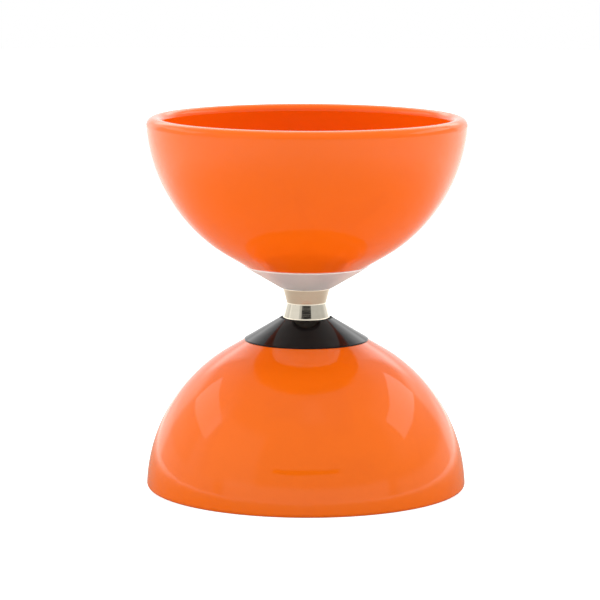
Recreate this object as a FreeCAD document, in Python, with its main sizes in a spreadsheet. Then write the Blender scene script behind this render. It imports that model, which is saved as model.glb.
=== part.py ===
import FreeCAD, Part
import Sketcher
import math
import os

# A diabolo: two bowl-shaped cups, back to back on one axle, with a spool-shaped hub between them
# that turns on three ball bearings. Millimetres. The axle stands along +Z, and the origin is the
# centre of the lower rim, which is what the diabolo stands on.
#
# Every size is a cell of the document's spreadsheet, and each sketch, feature and placement reads
# its cells through an expression.

SIZES = [
    # alias, value, what it is
    ("half_length", 72.5, "from the middle of the hub to either rim"),
    ("cup_radius", 62.5, "outside radius of a cup at its rim"),
    ("flank_length", 8.0, "length of the straight flank between a cup's seat and its round wall"),
    ("bowl_rise", 1.1, "height above the rim of the round wall's centre"),
    ("cup_wall", 4.0, "thickness of the cup's wall"),
    ("cup_base", 5.0, "thickness of the cup's flat base"),
    ("upper_lip_round", 3.2, "radius on the outside of the upper rim"),
    ("lower_lip_round", 1.5, "radius on the outside of the lower rim"),
    ("lip_land", 0.6, "width of the flat on top of the rim"),
    ("lip_inner_round", 2.7, "radius on the inside of the rim"),
    ("lip_blend", 25.0, "radius that joins the straight inside of the rim to the bowl"),
    ("floor_blend", 6.0, "radius between the bowl and its floor"),
    ("seat_edge_round", 0.3, "radius on the edge where the cup meets its cone"),
    ("cone_base_radius", 24.2, "large radius of a cone, and of the cup's seat on it"),
    ("cone_height", 8.8, "height of a cone"),
    ("cone_edge", 0.5, "height of the straight edge round a cone's large end"),
    ("cone_edge_round", 0.2, "radius on a cone's outer edges"),
    ("cone_lip_wall", 0.5, "thickness of the lip round the recess that the hub's end turns in"),
    ("cone_lip_cover", 0.1, "how far that lip reaches over the hub's end"),
    ("cone_skin", 2.3, "material between a cone's face and the hollow behind it, along the axle"),
    ("metal_hollow_depth", 3.0, "depth of the hollow turned in the back of the metal cone"),
    ("rib_thickness", 1.6, "thickness of the moulded cone's ribs"),
    ("rib_count", 6, "number of the moulded cone's ribs"),
    ("boss_wall", 2.0, "how far the boss inside a cone stands out past its spigot"),
    ("spigot_radius", 7.0, "radius of the spigot behind a cone, which centres the cup"),
    ("spigot_fit", 0.15, "clearance between the spigot and the cup"),
    ("spigot_relief", 0.2, "how far the spigot stops short of the clamp washer"),
    ("hub_waist_radius", 7.75, "radius of the hub at its waist"),
    ("hub_end_radius", 9.35, "radius of the hub at its ends"),
    ("hub_waist_round", 1.0, "radius in the bottom of the hub's groove"),
    ("hub_chamfer", 0.25, "chamfer on the hub's edges"),
    ("hub_gap", 0.4, "clearance round the hub's end in the cone's recess"),
    ("shim_wall", 0.9, "width of the shim between the end bearing and the cone"),
    ("shim_height", 0.5, "thickness of that shim"),
    ("bore_radius", 3.0, "radius of everything that fits on the axle"),
    ("axle_fit", 0.01, "clearance between the axle and what fits on it"),
    ("axle_stub", 6.0, "length of axle past each nut"),
    ("axle_chamfer", 0.6, "chamfer on the axle's ends"),
    ("bearing_radius", 6.0, "outside radius of a bearing, and of the hub's bore"),
    ("bearing_width", 4.0, "width of a bearing"),
    ("ring_chamfer", 0.15, "chamfer on the corners of a bearing's rings"),
    ("ball_radius", 0.794, "radius of a ball"),
    ("ball_count", 8, "balls in a bearing"),
    ("ball_play", 0.01, "clearance between a ball and each raceway"),
    ("race_radius", 0.82, "radius of a raceway's groove"),
    ("shoulder_gap", 0.55, "from the balls' circle to the shoulder of either ring"),
    ("shield_height", 0.2, "thickness of a shield"),
    ("shield_inset", 0.2, "how far a shield lies below the bearing's face"),
    ("shield_bite", 0.3, "how far a shield's seat goes into the outer ring"),
    ("shield_gap", 0.1, "clearance between a shield and the inner ring"),
    ("cage_wall", 0.7, "thickness of a cage's ring"),
    ("cage_back", 1.25, "from the middle of a bearing to the closed side of its cage"),
    ("cage_front", 0.35, "from the middle of a bearing to the open side of its cage"),
    ("cage_play", 0.06, "clearance between a ball and its pocket"),
    ("washer_radius", 15.0, "outside radius of the clamp washer inside a cup"),
    ("washer_height", 1.5, "thickness of the clamp washer"),
    ("washer_recess", 0.8, "depth of the washer's recess in the cup's floor"),
    ("washer_fit", 0.3, "clearance round the washer in its recess"),
    ("washer_bore_fit", 0.2, "clearance round the axle in the washer"),
    ("washer_chamfer", 0.25, "chamfer on the washer's edges"),
    ("nut_flats", 10.0, "width of a nut across its flats"),
    ("nut_hexagon_height", 4.0, "height of a nut's hexagon"),
    ("nut_corner_angle", 30.0, "degrees of the chamfer on the hexagon's corners"),
    ("nut_face_inset", 0.25, "how far inside the flats that chamfer starts"),
    ("collar_wall", 0.5, "wall of the nut's collar, which holds the nylon ring"),
    ("collar_height", 2.0, "height of the collar"),
    ("collar_roll", 0.4, "thickness and width of the edge rolled over the nylon ring"),
    ("nylon_wall", 0.85, "wall of the nylon ring"),
]

doc = FreeCAD.newDocument("Diabolo")


class Size:
    """A number, with the formula that makes it from the spreadsheet's cells."""

    def __init__(self, value, formula=None):
        self.value = float(value)
        self.formula = formula or repr(float(value))

    def __add__(self, other):
        other = size_of(other)
        return Size(self.value + other.value, f"({self.formula} + {other.formula})")

    def __sub__(self, other):
        other = size_of(other)
        return Size(self.value - other.value, f"({self.formula} - {other.formula})")

    def __mul__(self, other):
        other = size_of(other)
        return Size(self.value * other.value, f"({self.formula} * {other.formula})")

    def __truediv__(self, other):
        other = size_of(other)
        return Size(self.value / other.value, f"({self.formula} / {other.formula})")

    def __neg__(self):
        return Size(-self.value, f"(0 - {self.formula})")


def size_of(number):
    return number if isinstance(number, Size) else Size(number)


def polar(centre, radius, degrees):
    """The point at a distance and an angle from a centre, as plain numbers."""
    angle = math.radians(degrees)
    return (centre[0] + radius * math.cos(angle), centre[1] + radius * math.sin(angle))


def tangent(degrees):
    return Size(math.tan(math.radians(degrees.value)), f"tan({degrees.formula} * 1deg)")


def smaller(first, second):
    return Size(min(first.value, second.value), f"min({first.formula}; {second.formula})")


def fill_sheet():
    """Writes the sizes into the spreadsheet and returns them by alias."""
    sheet = doc.addObject("Spreadsheet::Sheet", "Sizes")
    found = {}
    for row, (alias, value, note) in enumerate(SIZES, start=1):
        sheet.set(f"A{row}", note)
        sheet.set(f"B{row}", str(value))
        sheet.setAlias(f"B{row}", alias)
        found[alias] = Size(value, f"Sizes.{alias}")
    doc.recompute()
    return found


S = fill_sheet()

# Heights are above the middle of the hub, and every piece that shares a face shares its value.
hub_half = S["bearing_width"] * 1.5
cone_face = hub_half - S["cone_lip_cover"]
cup_seat = cone_face + S["cone_height"]
cup_height = S["half_length"] - cup_seat
washer_face = cup_seat + S["cup_base"] - S["washer_recess"]
nut_face = washer_face + S["washer_height"]
nut_height = S["nut_hexagon_height"] + S["collar_height"]
axle_half = nut_face + nut_height + S["axle_stub"]

axle_radius = S["bore_radius"] - S["axle_fit"]
recess_radius = S["hub_end_radius"] + S["hub_gap"]
recess_depth = S["cone_lip_cover"] + S["shim_height"]
cone_top_radius = recess_radius + S["cone_lip_wall"]
boss_radius = S["spigot_radius"] + S["boss_wall"]
spigot_height = S["cup_base"] - S["washer_recess"] - S["spigot_relief"]
ball_circle = (S["bore_radius"] + S["bearing_radius"]) / 2
nylon_radius = S["bore_radius"] + S["nylon_wall"]

START = 1
END = 2
CENTRE = 3
HORIZONTAL_AXIS = -1
VERTICAL_AXIS = -2


class Outline:
    """A closed outline in a sketch on one of a body's own planes.

    On the XZ plane the sketch's X is the radius and its Y is the height.
    """

    def __init__(self, body, name, plane="XZ_Plane"):
        self.sketch = body.newObject("Sketcher::SketchObject", name)
        features = body.Origin.OriginFeatures
        support = [feature for feature in features if feature.Role == plane][0]
        self.sketch.AttachmentSupport = (support, "")
        self.sketch.MapMode = "FlatFace"

    def constrain(self, *words):
        return self.sketch.addConstraint(Sketcher.Constraint(*words))

    def bind(self, size, *words):
        """Adds a constraint whose value follows a size."""
        index = self.constrain(*words, size.value)
        self.sketch.setExpression(f"Constraints[{index}]", size.formula)

    def fix(self, piece, end, radius=None, height=None):
        """Holds a point of a piece at a radius, at a height or at both."""
        rules = [("DistanceX", radius, VERTICAL_AXIS), ("DistanceY", height, HORIZONTAL_AXIS)]
        for word, size, axis in rules:
            if size is None:
                continue
            size = size_of(size)
            if size.value == 0:
                self.constrain("PointOnObject", piece, end, axis)
            else:
                self.bind(size, word, HORIZONTAL_AXIS, START, piece, end)

    def line(self, start, end):
        """A line between two points of plain numbers, which its constraints then move."""
        points = [FreeCAD.Vector(r, z, 0) for r, z in (start, end)]
        return self.sketch.addGeometry(Part.LineSegment(*points), False)

    def arc(self, centre, radius, first, last):
        """An arc that runs anticlockwise from one angle to another, in degrees."""
        circle = Part.Circle(FreeCAD.Vector(*centre, 0), FreeCAD.Vector(0, 0, 1), radius)
        angles = (math.radians(first), math.radians(last))
        return self.sketch.addGeometry(Part.ArcOfCircle(circle, *angles), False)

    def touch_upright(self, arc, radius, height):
        """Makes an arc's whole circle touch an upright construction line at a radius."""
        ends = [FreeCAD.Vector(radius.value, height.value * share, 0) for share in (0, 1)]
        upright = self.sketch.addGeometry(Part.LineSegment(*ends), True)
        self.fix(upright, START, radius, 0)
        self.fix(upright, END, radius, height)
        self.constrain("Tangent", arc, upright)

    def meet(self, first, first_end, second, second_end):
        self.constrain("Coincident", first, first_end, second, second_end)

    def blend(self, first, first_end, second, second_end):
        self.constrain("Tangent", first, first_end, second, second_end)

    def run(self, points):
        """Straight lines through points whose radius and height are sizes."""
        places = [(size_of(r).value, size_of(z).value) for r, z in points]
        lines = [self.line(start, end) for start, end in zip(places, places[1:])]
        for piece, (radius, height) in zip(lines, points):
            self.fix(piece, START, radius, height)
        for piece, following in zip(lines, lines[1:]):
            self.meet(piece, END, following, START)
        return lines

    def polygon(self, points):
        """A closed outline of straight lines."""
        lines = self.run(points + points[:1])
        self.meet(lines[-1], END, lines[0], START)
        return self


def new_body(label, height=0, turned_over=False):
    """A body whose own zero is at a height from the middle of the hub, upwards or downwards."""
    body = doc.addObject("PartDesign::Body", label)
    body.Label = label
    side = "-" if turned_over else "+"
    if turned_over:
        body.Placement.Rotation = FreeCAD.Rotation(FreeCAD.Vector(1, 0, 0), 180)
    place = f"{S['half_length'].formula} {side} {size_of(height).formula}"
    body.setExpression(".Placement.Base.z", place)
    return body


def finished(feature, before):
    """Recomputes a feature, and stops if it left the body's volume as it was."""
    doc.recompute()
    cuts = feature.TypeId in ("PartDesign::Groove", "PartDesign::Pocket")
    change = feature.Shape.Volume - before
    if (change >= 0) if cuts else (change <= 0):
        raise RuntimeError(f"{feature.Name} changed the volume by {change}")
    return feature


def volume(body):
    doc.recompute()
    return body.Shape.Volume if body.Tip else 0.0


def turn(body, outline, kind="Revolution", axis="V_Axis"):
    """Revolves an outline about the axle, to add or, as a Groove, to take away."""
    before = volume(body)
    feature = body.newObject(f"PartDesign::{kind}", f"{outline.sketch.Name}_turned")
    feature.Profile = (outline.sketch, [""])
    feature.ReferenceAxis = (outline.sketch, [axis])
    feature.Angle = 360.0
    return finished(feature, before)


def raise_pad(body, outline, length, midplane=False):
    """Pads an outline by a length."""
    before = volume(body)
    feature = body.newObject("PartDesign::Pad", f"{outline.sketch.Name}_padded")
    feature.Profile = (outline.sketch, [""])
    feature.Length = length.value
    feature.setExpression("Length", length.formula)
    feature.SideType = "Symmetric" if midplane else "One side"
    return finished(feature, before)


def repeat(body, feature, count):
    """Repeats a feature round the axle."""
    before = volume(body)
    pattern = body.newObject("PartDesign::PolarPattern", f"{feature.Name}_ring")
    pattern.Originals = [feature]
    pattern.Axis = (feature.Profile[0], ["V_Axis"])
    pattern.Angle = 360.0
    pattern.Occurrences = int(count.value)
    pattern.setExpression("Occurrences", count.formula)
    body.Tip = pattern
    doc.recompute()
    if abs(pattern.Shape.Volume - before) < 1e-6:
        raise RuntimeError(f"{pattern.Name} repeated nothing")
    return pattern


def circles(shape, radius, height):
    """Names of the circular edges of a shape with that radius at that height."""
    names = []
    for number, edge in enumerate(shape.Edges, start=1):
        if not isinstance(edge.Curve, Part.Circle):
            continue
        right_radius = abs(edge.Curve.Radius - size_of(radius).value) < 1e-4
        right_height = abs(edge.Curve.Center.z - size_of(height).value) < 1e-4
        if right_radius and right_height:
            names.append(f"Edge{number}")
    if not names:
        raise RuntimeError(f"no circle of {size_of(radius).value} at {size_of(height).value}")
    return names


def soften(body, kind, size, places):
    """A Fillet or a Chamfer on circular edges, each given as its radius and height."""
    doc.recompute()
    base = body.Tip
    names = [name for place in places for name in circles(base.Shape, *place)]
    feature = body.newObject(f"PartDesign::{kind}", f"{body.Name}_{kind}")
    feature.Base = (base, names)
    word = "Radius" if kind == "Fillet" else "Size"
    setattr(feature, word, size.value)
    feature.setExpression(word, size.formula)
    doc.recompute()
    return feature


def ring(label, inner, outer, low, high, height=0, turned_over=False):
    """A plain ring with square edges."""
    body = new_body(label, height, turned_over)
    corners = [(inner, low), (outer, low), (outer, high), (inner, high)]
    turn(body, Outline(body, f"{label}_section").polygon(corners))
    return body


# ---- cups

bowl_centre_height = cup_height + S["bowl_rise"]


def flank_angle():
    """The angle that lets one arc touch both the straight flank and the cylinder round the rim."""
    low, high = 0.0, math.pi / 2
    for _ in range(60):
        angle = (low + high) / 2
        reach = S["flank_length"].value * math.cos(angle)
        rise = S["flank_length"].value * math.sin(angle)
        across = (S["cup_radius"] - S["cone_base_radius"]).value - reach
        radius_across = across / (1 - math.sin(angle))
        radius_up = (bowl_centre_height.value - rise) / math.cos(angle)
        low, high = (angle, high) if radius_across < radius_up else (low, angle)
    return math.degrees(angle), radius_up


def draw_outside(shape, seat, lip_round):
    """From the seat's edge up the flank and the bowl, and over the rim to the straight inside.

    The plain numbers only start the sketch near its answer, which its constraints then fix.
    """
    angle, radius = flank_angle()
    wall = S["cup_radius"].value
    centre = (wall - radius, bowl_centre_height.value)
    top = cup_height.value
    round_radius = lip_round.value
    drop = (top - round_radius - centre[1]) / (radius - round_radius)
    near_rim = math.degrees(math.asin(drop))
    edge = S["cone_base_radius"].value
    flank_end = polar(centre, radius, angle - 90)
    outer_centre = polar(centre, radius - round_radius, near_rim)
    land_end = outer_centre[0] - S["lip_land"].value
    inner_centre = (land_end, top - S["lip_inner_round"].value)

    flank = shape.line((edge, 0), flank_end)
    bowl = shape.arc(centre, radius, angle - 90, near_rim)
    outer_round = shape.arc(outer_centre, round_radius, near_rim, 90)
    land = shape.line((outer_centre[0], top), (land_end, top))
    inner_round = shape.arc(inner_centre, S["lip_inner_round"].value, 90, 180)

    shape.meet(seat, END, flank, START)
    shape.fix(flank, START, S["cone_base_radius"], 0)
    shape.bind(S["flank_length"], "Distance", flank)
    shape.blend(flank, END, bowl, START)
    shape.fix(bowl, CENTRE, height=bowl_centre_height)
    shape.touch_upright(bowl, S["cup_radius"], bowl_centre_height)
    shape.blend(bowl, END, outer_round, START)
    shape.bind(lip_round, "Radius", outer_round)
    shape.blend(outer_round, END, land, START)
    shape.fix(land, START, height=cup_height)
    shape.constrain("Horizontal", land)
    shape.bind(S["lip_land"], "Distance", land)
    shape.blend(land, END, inner_round, START)
    shape.bind(S["lip_inner_round"], "Radius", inner_round)
    return bowl, inner_round, centre, radius, inner_centre


def draw_inside(shape, outside, first_step):
    """From the rim down the straight inside and the bowl to the floor."""
    outer_bowl, inner_round, centre, outer_radius, lip_centre = outside
    radius = outer_radius - S["cup_wall"].value
    inside = lip_centre[0] - S["lip_inner_round"].value
    blend_radius = S["lip_blend"].value
    drop = math.degrees(math.acos((inside - blend_radius - centre[0]) / (radius - blend_radius)))
    blend_centre = polar(centre, radius - blend_radius, -drop)
    floor_radius = S["floor_blend"].value
    base = S["cup_base"].value
    floor_rise = base + floor_radius - centre[1]
    floor_angle = math.degrees(math.asin(floor_rise / (radius - floor_radius)))
    floor_centre = polar(centre, radius - floor_radius, floor_angle)
    step_radius = S["washer_radius"].value + S["washer_fit"].value

    straight = shape.line((inside, lip_centre[1]), (inside, blend_centre[1]))
    blend = shape.arc(blend_centre, blend_radius, -drop, 0)
    bowl = shape.arc(centre, radius, floor_angle, -drop)
    corner = shape.arc(floor_centre, floor_radius, -90, floor_angle)
    floor = shape.line((floor_centre[0], base), (step_radius, base))

    shape.blend(inner_round, END, straight, START)
    shape.constrain("Vertical", straight)
    shape.blend(straight, END, blend, END)
    shape.bind(S["lip_blend"], "Radius", blend)
    shape.blend(blend, START, bowl, END)
    shape.meet(bowl, CENTRE, outer_bowl, CENTRE)
    shape.touch_upright(bowl, S["cup_radius"] - S["cup_wall"], bowl_centre_height)
    shape.blend(bowl, START, corner, END)
    shape.bind(S["floor_blend"], "Radius", corner)
    shape.blend(corner, START, floor, START)
    shape.constrain("Horizontal", floor)
    shape.meet(floor, END, first_step, START)


def make_cup(label, turned_over, lip_round):
    """A bowl with a flat seat, a bore for the spigot, a recess for the washer and a thick rim."""
    body = new_body(label, cup_seat, turned_over)
    bore = S["spigot_radius"] + S["spigot_fit"]
    recess = S["washer_radius"] + S["washer_fit"]
    recess_floor = S["cup_base"] - S["washer_recess"]
    steps = [(recess, S["cup_base"]), (recess, recess_floor), (bore, recess_floor)]

    shape = Outline(body, f"{label}_section")
    lines = shape.run(steps + [(bore, 0), (S["cone_base_radius"], 0)])
    outside = draw_outside(shape, lines[-1], lip_round)
    draw_inside(shape, outside, lines[0])
    turn(body, shape)
    soften(body, "Fillet", S["seat_edge_round"], [(S["cone_base_radius"], 0)])


# ---- cones

face_height = S["cone_height"] - S["cone_edge"]
face_slope = face_height / (S["cone_base_radius"] - cone_top_radius)


def hollow_radius(height):
    """Where the hollow's sloping wall, which follows the cone's face, has a given height."""
    return cone_top_radius + (height - S["cone_skin"]) / face_slope


def make_cone(label, turned_over, hollow_depth):
    """A cone with a recess for the hub's end, a hollow back and a spigot that centres the cup."""
    body = new_body(label, cone_face, turned_over)
    back = S["cone_height"]
    hollow_floor = back - hollow_depth
    spigot_end = back + spigot_height
    corners = [
        (S["bore_radius"], recess_depth),
        (recess_radius, recess_depth),
        (recess_radius, 0),
        (cone_top_radius, 0),
        (S["cone_base_radius"], face_height),
        (S["cone_base_radius"], back),
        (hollow_radius(back), back),
        (hollow_radius(hollow_floor), hollow_floor),
        (boss_radius, hollow_floor),
        (boss_radius, back),
        (S["spigot_radius"], back),
        (S["spigot_radius"], spigot_end),
        (S["bore_radius"], spigot_end),
    ]
    turn(body, Outline(body, f"{label}_section").polygon(corners))
    edges = [(cone_top_radius, 0), (S["cone_base_radius"], face_height)]
    soften(body, "Fillet", S["cone_edge_round"], edges + [(S["cone_base_radius"], back)])
    return body


def add_ribs(body, hollow_depth):
    """Ribs across the hollow, from the boss to half way into the sloping wall."""
    back = S["cone_height"]
    floor = back - hollow_depth
    sunk = S["cone_skin"] / 2
    inside = boss_radius - S["boss_wall"] / 2
    corners = [
        (inside, floor - sunk),
        (hollow_radius(floor), floor - sunk),
        (hollow_radius(back), back - sunk),
        (hollow_radius(back), back),
        (inside, back),
    ]
    outline = Outline(body, f"{body.Name}_rib").polygon(corners)
    rib = raise_pad(body, outline, S["rib_thickness"], midplane=True)
    repeat(body, rib, S["rib_count"])


# ---- hub and bearings


def make_hub():
    """The spool that the string runs on, waisted in a shallow V."""
    body = new_body("hub_shell")
    corners = [
        (S["bearing_radius"], -hub_half),
        (S["hub_end_radius"], -hub_half),
        (S["hub_waist_radius"], 0),
        (S["hub_end_radius"], hub_half),
        (S["bearing_radius"], hub_half),
    ]
    turn(body, Outline(body, "hub_shell_section").polygon(corners))
    soften(body, "Fillet", S["hub_waist_round"], [(S["hub_waist_radius"], 0)])
    ends = [(S["hub_end_radius"], -hub_half), (S["hub_end_radius"], hub_half)]
    soften(body, "Chamfer", S["hub_chamfer"], ends)


def race(shape, groove_centre, shoulder, points, outward):
    """Closes an outline with a raceway: points lead from one shoulder round to the other."""
    reach = abs(shoulder.value - groove_centre.value)
    half_width = math.sqrt(S["race_radius"].value ** 2 - reach ** 2)
    first = (shoulder.value, -half_width)
    last = (shoulder.value, half_width)
    spread = math.degrees(math.atan2(half_width, reach))
    angles = (-spread, spread) if outward else (180 - spread, 180 + spread)
    groove = shape.arc((groove_centre.value, 0), S["race_radius"].value, *angles)
    shape.bind(S["race_radius"], "Radius", groove)
    lines = shape.run(points)
    into = shape.line(first, (size_of(points[0][0]).value, size_of(points[0][1]).value))
    final = shape.line((size_of(points[-1][0]).value, size_of(points[-1][1]).value), last)
    low_end, high_end = (START, END) if outward else (END, START)
    shape.fix(groove, CENTRE, groove_centre, 0)
    shape.meet(into, START, groove, low_end)
    shape.meet(into, END, lines[0], START)
    shape.meet(lines[-1], END, final, START)
    shape.fix(final, START, *points[-1])
    shape.meet(final, END, groove, high_end)
    shape.fix(groove, low_end, radius=shoulder)
    shape.fix(groove, high_end, radius=shoulder)
    return shape


def make_outer_ring(label, height):
    body = new_body(label, height)
    half = S["bearing_width"] / 2
    shoulder = ball_circle + S["shoulder_gap"]
    seat = shoulder + S["shield_bite"]
    step = half - S["shield_inset"] - S["shield_height"]
    centre = ball_circle + S["ball_radius"] + S["ball_play"] - S["race_radius"]
    outside = S["bearing_radius"]
    points = [(shoulder, -step), (seat, -step), (seat, -half), (outside, -half)]
    mirrored = [(radius, -size_of(z)) for radius, z in reversed(points)]
    shape = Outline(body, f"{label}_section")
    turn(body, race(shape, centre, shoulder, points + mirrored, outward=True))
    corners = [(outside, -half), (outside, half)]
    soften(body, "Chamfer", smaller(S["ring_chamfer"], (outside - seat) / 2), corners)


def make_inner_ring(label, height):
    body = new_body(label, height)
    half = S["bearing_width"] / 2
    shoulder = ball_circle - S["shoulder_gap"]
    centre = ball_circle - S["ball_radius"] - S["ball_play"] + S["race_radius"]
    points = [(shoulder, -half), (S["bore_radius"], -half), (S["bore_radius"], half), (shoulder, half)]
    shape = Outline(body, f"{label}_section")
    turn(body, race(shape, centre, shoulder, points, outward=False))
    corners = [(S["bore_radius"], -half), (S["bore_radius"], half)]
    soften(body, "Chamfer", S["ring_chamfer"], corners)


def half_disc(body, name, radius):
    """Half a disc on the balls' circle, with its straight side up the middle of the ball."""
    shape = Outline(body, name)
    middle = ball_circle.value
    curve = shape.arc((middle, 0), radius.value, -90, 90)
    shape.bind(radius, "Radius", curve)
    side = shape.line((middle, radius.value), (middle, -radius.value))
    shape.fix(curve, CENTRE, ball_circle, 0)
    shape.meet(curve, END, side, START)
    shape.meet(side, END, curve, START)
    shape.constrain("Vertical", side)
    shape.constrain("PointOnObject", curve, CENTRE, side)
    return shape, f"Edge{side + 1}"


def make_balls(label, height):
    body = new_body(label, height)
    shape, axis = half_disc(body, f"{label}_section", S["ball_radius"])
    ball = turn(body, shape, axis=axis)
    repeat(body, ball, S["ball_count"])


def make_cage(label, height):
    """A crown: a ring with a pocket for each ball, closed on one side."""
    middle = ball_circle
    wall = S["cage_wall"] / 2
    inner, outer = middle - wall, middle + wall
    body = ring(label, inner, outer, -S["cage_back"], S["cage_front"], height)
    pocket_radius = S["ball_radius"] + S["cage_play"]
    shape, axis = half_disc(body, f"{label}_pocket", pocket_radius)
    pocket = turn(body, shape, "Groove", axis)
    repeat(body, pocket, S["ball_count"])


def make_shield(label, height, turned_over):
    """The thin ring in the face of a bearing: its seat is in the outer ring."""
    half = S["bearing_width"] / 2
    top = half - S["shield_inset"]
    inner = ball_circle - S["shoulder_gap"] + S["shield_gap"]
    outer = ball_circle + S["shoulder_gap"] + S["shield_bite"]
    ring(label, inner, outer, top - S["shield_height"], top, height, turned_over)


def make_bearing(place, height):
    make_outer_ring(f"{place}_bearing_outer_ring", height)
    make_inner_ring(f"{place}_bearing_inner_ring", height)
    make_balls(f"{place}_bearing_balls", height)
    make_cage(f"{place}_bearing_cage", height)
    make_shield(f"{place}_bearing_top_shield", height, False)
    make_shield(f"{place}_bearing_bottom_shield", -size_of(height), True)


# ---- axle, washers and nuts


def make_axle():
    """A plain rod as thick as the thread's crests, which is what its nuts turn on."""
    body = ring("axle", 0, axle_radius, -axle_half, axle_half)
    ends = [(axle_radius, -axle_half), (axle_radius, axle_half)]
    soften(body, "Chamfer", S["axle_chamfer"], ends)


def make_shim(label, turned_over):
    outer = S["bore_radius"] + S["shim_wall"]
    ring(label, S["bore_radius"], outer, 0, S["shim_height"], hub_half, turned_over)


def make_washer(label, turned_over):
    inner = S["bore_radius"] + S["washer_bore_fit"]
    top = S["washer_height"]
    body = ring(label, inner, S["washer_radius"], 0, top, washer_face, turned_over)
    soften(body, "Chamfer", S["washer_chamfer"], [(S["washer_radius"], top), (inner, top)])


def draw_hexagon(body, name, flats):
    """A regular hexagon about the origin, with two of its sides along X."""
    shape = Outline(body, name, "XY_Plane")
    corner = flats.value / math.sqrt(3)
    turns = [math.radians(60 * step) for step in range(7)]
    points = [(corner * math.cos(angle), corner * math.sin(angle)) for angle in turns]
    sides = [shape.line(start, end) for start, end in zip(points, points[1:])]
    corner_size = flats / Size(math.sqrt(3), "sqrt(3)")
    for side, following in zip(sides, sides[1:] + sides[:1]):
        shape.meet(side, END, following, START)
    for side in sides[1:]:
        shape.constrain("Equal", sides[0], side)
    shape.fix(sides[0], START, corner_size, 0)
    shape.fix(sides[3], START, -corner_size, 0)
    shape.constrain("Horizontal", sides[1])
    shape.bind(flats, "DistanceY", sides[4], START, sides[1], START)
    return shape


def make_nut(label, turned_over):
    """A lock nut: a hexagon with chamfered corners, and a collar rolled over a nylon ring."""
    body = new_body(label, nut_face, turned_over)
    top = S["nut_hexagon_height"]
    crown = nut_height
    raise_pad(body, draw_hexagon(body, f"{label}_hexagon", S["nut_flats"]), top)

    start = S["nut_flats"] / 2 - S["nut_face_inset"]
    beyond = S["nut_flats"]
    drop = (beyond - start) * tangent(S["nut_corner_angle"])
    lower = Outline(body, f"{label}_lower_corners").polygon([(start, 0), (beyond, 0), (beyond, drop)])
    turn(body, lower, "Groove")
    upper = [(start, top), (beyond, top), (beyond, top - drop)]
    turn(body, Outline(body, f"{label}_upper_corners").polygon(upper), "Groove")

    hole = [(0, 0), (S["bore_radius"], 0), (S["bore_radius"], top), (0, top)]
    turn(body, Outline(body, f"{label}_bore").polygon(hole), "Groove")

    rolled = crown - S["collar_roll"]
    mouth = nylon_radius - S["collar_roll"]
    outside = nylon_radius + S["collar_wall"]
    collar = [
        (nylon_radius, top),
        (outside, top),
        (outside, crown),
        (mouth, crown),
        (mouth, rolled),
        (nylon_radius, rolled),
    ]
    turn(body, Outline(body, f"{label}_collar").polygon(collar))
    soften(body, "Fillet", S["collar_roll"], [(outside, crown)])


def make_nylon(label, turned_over):
    low = S["nut_hexagon_height"]
    high = nut_height - S["collar_roll"]
    ring(label, S["bore_radius"], nylon_radius, low, high, nut_face, turned_over)


# ---- the whole


def build():
    for side, turned_over in (("upper", False), ("lower", True)):
        make_cup(f"{side}_cup", turned_over, S[f"{side}_lip_round"])
        make_shim(f"{side}_shim", turned_over)
        make_washer(f"{side}_clamp_washer", turned_over)
        make_nut(f"{side}_lock_nut", turned_over)
        make_nylon(f"{side}_nut_nylon_ring", turned_over)
    make_cone("upper_cone", False, S["metal_hollow_depth"])
    moulded_depth = S["cone_height"] - recess_depth - S["cone_skin"]
    lower_cone = make_cone("lower_cone", True, moulded_depth)
    add_ribs(lower_cone, moulded_depth)
    make_hub()
    for place, height in (("upper", S["bearing_width"]), ("middle", 0), ("lower", -S["bearing_width"])):
        make_bearing(place, size_of(height))
    make_axle()


def check():
    """Stops before anything is written if any object failed."""
    for item in doc.Objects:
        if "Invalid" in item.State or "Error" in item.State:
            raise RuntimeError(f"{item.Name} failed: {item.State}")
    for body in pieces():
        if body.Shape.isNull() or not body.Shape.isValid():
            raise RuntimeError(f"{body.Label} has no valid shape")


def pieces():
    return [item for item in doc.Objects if item.TypeId == "PartDesign::Body"]


def write():
    os.makedirs("parts", exist_ok=True)
    for body in pieces():
        body.Shape.exportStep(f"parts/{body.Label}.step")


build()
doc.recompute()
check()
write()
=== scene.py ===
import math

import bmesh
import bpy
from mathutils import Matrix, Vector


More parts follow.
